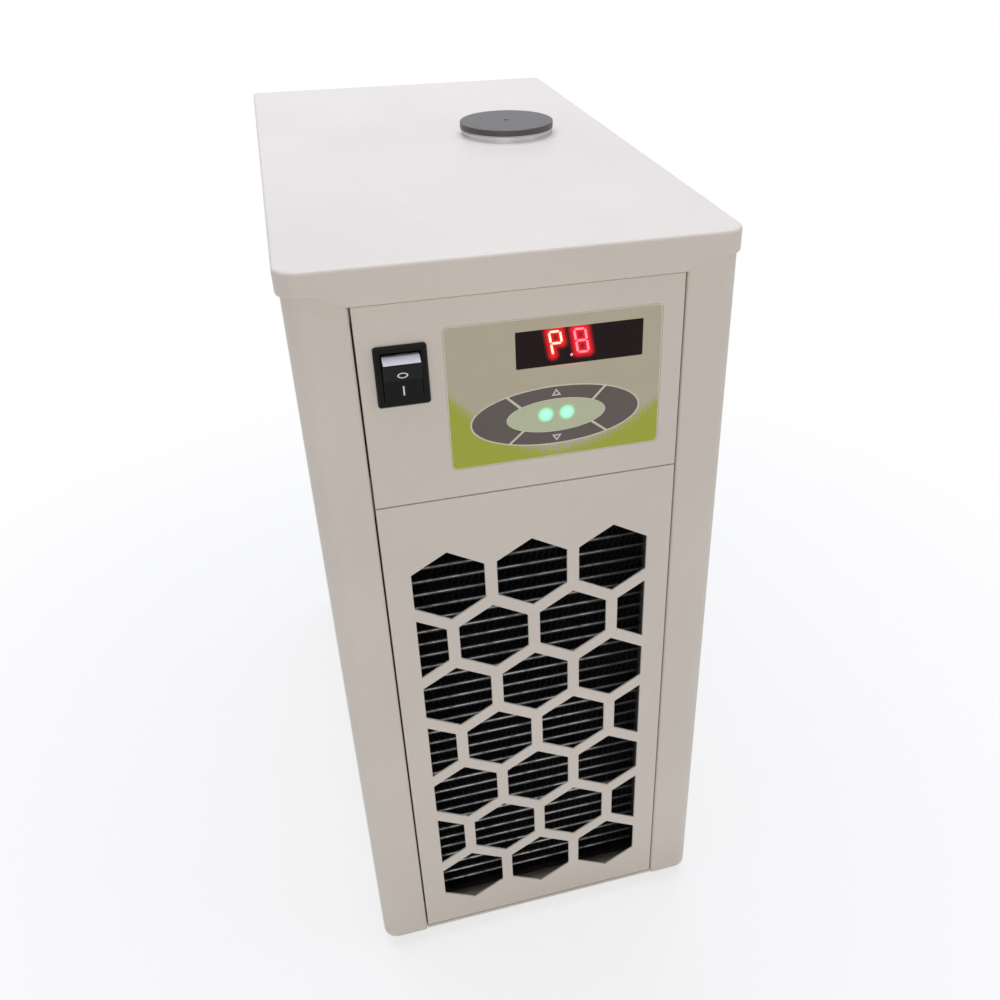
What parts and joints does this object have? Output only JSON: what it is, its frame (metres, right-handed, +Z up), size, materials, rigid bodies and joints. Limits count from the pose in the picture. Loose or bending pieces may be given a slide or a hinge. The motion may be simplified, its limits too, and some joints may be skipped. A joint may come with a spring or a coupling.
{
  "type": "recirculating chiller",
  "caption": "Upright laboratory recirculating chiller: painted cabinet with honeycomb intake grille, display and keypad, rocker switch, screw filler cap, rear hose ports.",
  "frame": {"origin": "on the floor, under the middle of the whole unit", "axes": "+Z up, +X to the right as one faces the front, +Y from the front to the back"},
  "size_m": [0.223, 0.431, 0.4918],
  "materials": {
    "beige_paint": "satin",
    "zinc_steel": "satin",
    "black_rubber": "matte",
    "printed_film": "satin",
    "dark_filter": "gloss",
    "display_black": "matte",
    "green_board": "satin",
    "brass": "satin",
    "lamp_lens": "gloss",
    "black_plastic": "satin",
    "gloss_black": "gloss",
    "stainless": "satin",
    "black_foam": "matte",
    "black_enamel": "satin",
    "black_aluminium": "satin",
    "copper": "satin",
    "clear_hose": "satin",
    "nickel_brass": "satin",
    "white_silicone": "matte",
    "cap_plastic": "matte",
    "red_plastic": "satin"
  },
  "bodies": {
    "cabinet": {"base_tray": "beige_paint", "left_side_panel": "beige_paint", "right_side_panel": "beige_paint", "top_cover": "beige_paint", "control_panel": "beige_paint", "grille_panel": "beige_paint", "back_panel": "beige_paint", "cross_rails": "zinc_steel", "tank_shelf": "zinc_steel", "rubber_feet": "black_rubber", "pan_screws": "zinc_steel", "keypad_film": "printed_film", "display_window": "dark_filter", "display_module": "display_black", "display_board": "green_board", "board_spacers": "brass", "status_lamps": "lamp_lens", "key_switches": "black_plastic", "switch_housing": "black_plastic", "filler_neck": "stainless", "tank": "stainless", "tank_lid": "stainless", "tank_insulation": "black_foam", "evaporator_coil": "stainless", "temperature_probe": "stainless", "compressor": "black_enamel", "compressor_grommets": "black_rubber", "compressor_bolts": "zinc_steel", "condenser": "black_aluminium", "condenser_fins": "black_aluminium", "fan_shroud": "black_enamel", "fan_bracket": "zinc_steel", "fan_motor": "black_enamel", "filter_drier": "copper", "discharge_pipe": "copper", "liquid_pipe": "copper", "capillary_tube": "copper", "suction_pipe": "copper", "pump_head": "black_plastic", "pump_motor": "black_enamel", "suction_hose": "clear_hose", "supply_hose": "clear_hose", "return_hose": "clear_hose", "drain_hose": "clear_hose", "hose_ports": "nickel_brass", "drain_valve": "nickel_brass", "power_inlet": "black_plastic", "inlet_pins": "nickel_brass", "control_board": "green_board"},
    "key_left": {"key_plunger_left": "black_plastic"},
    "key_right": {"key_plunger_right": "black_plastic"},
    "key_up": {"key_plunger_up": "black_plastic"},
    "key_down": {"key_plunger_down": "black_plastic"},
    "rocker": {"switch_rocker": "gloss_black"},
    "cap_seal": {"cap_gasket": "white_silicone"},
    "cap": {"filler_cap": "cap_plastic"},
    "fan": {"fan_rotor": "black_plastic"},
    "impeller": {"pump_impeller": "black_plastic"},
    "lever": {"drain_lever": "red_plastic"}
  },
  "joints": [
    {"name": "rocker_tilt", "type": "hinge", "parent": "cabinet", "child": "rocker", "pos_m": [-0.06035, -0.20451, 0.42935], "axis": [1, 0, 0], "range_deg": [-24, 0]},
    {"name": "cap_lift", "type": "slide", "parent": "cabinet", "child": "cap_seal", "axis": [0, 0, 1], "range_m": [0, 0.012]},
    {"name": "cap_turn", "type": "hinge", "parent": "cap_seal", "child": "cap", "pos_m": [0.044, 0.01649, 0.4881], "axis": [0, 0, 1], "range_deg": [0, 1080]},
    {"name": "fan_spin", "type": "hinge", "parent": "cabinet", "child": "fan", "pos_m": [0, -0.13951, 0.1845], "axis": [0, 1, 0], "continuous": true},
    {"name": "impeller_spin", "type": "hinge", "parent": "cabinet", "child": "impeller", "pos_m": [0.062, 0.01149, 0.072], "axis": [0, 1, 0], "continuous": true},
    {"name": "lever_turn", "type": "hinge", "parent": "cabinet", "child": "lever", "pos_m": [0.025, 0.20349, 0.052], "axis": [0, 0, 1], "range_deg": [0, 90]},
    {"name": "key_press_left", "type": "slide", "parent": "cabinet", "child": "key_left", "axis": [0, 1, 0], "range_m": [0, 0.00025], "stiffness_N_per_m": 800},
    {"name": "key_press_right", "type": "slide", "parent": "cabinet", "child": "key_right", "axis": [0, 1, 0], "range_m": [0, 0.00025], "stiffness_N_per_m": 800},
    {"name": "key_press_up", "type": "slide", "parent": "cabinet", "child": "key_up", "axis": [0, 1, 0], "range_m": [0, 0.00025], "stiffness_N_per_m": 800},
    {"name": "key_press_down", "type": "slide", "parent": "cabinet", "child": "key_down", "axis": [0, 1, 0], "range_m": [0, 0.00025], "stiffness_N_per_m": 800}
  ],
  "couplings": [
    {"joint": "cap_turn", "follows": "cap_lift", "rad_per_m": 1570.8}
  ]
}
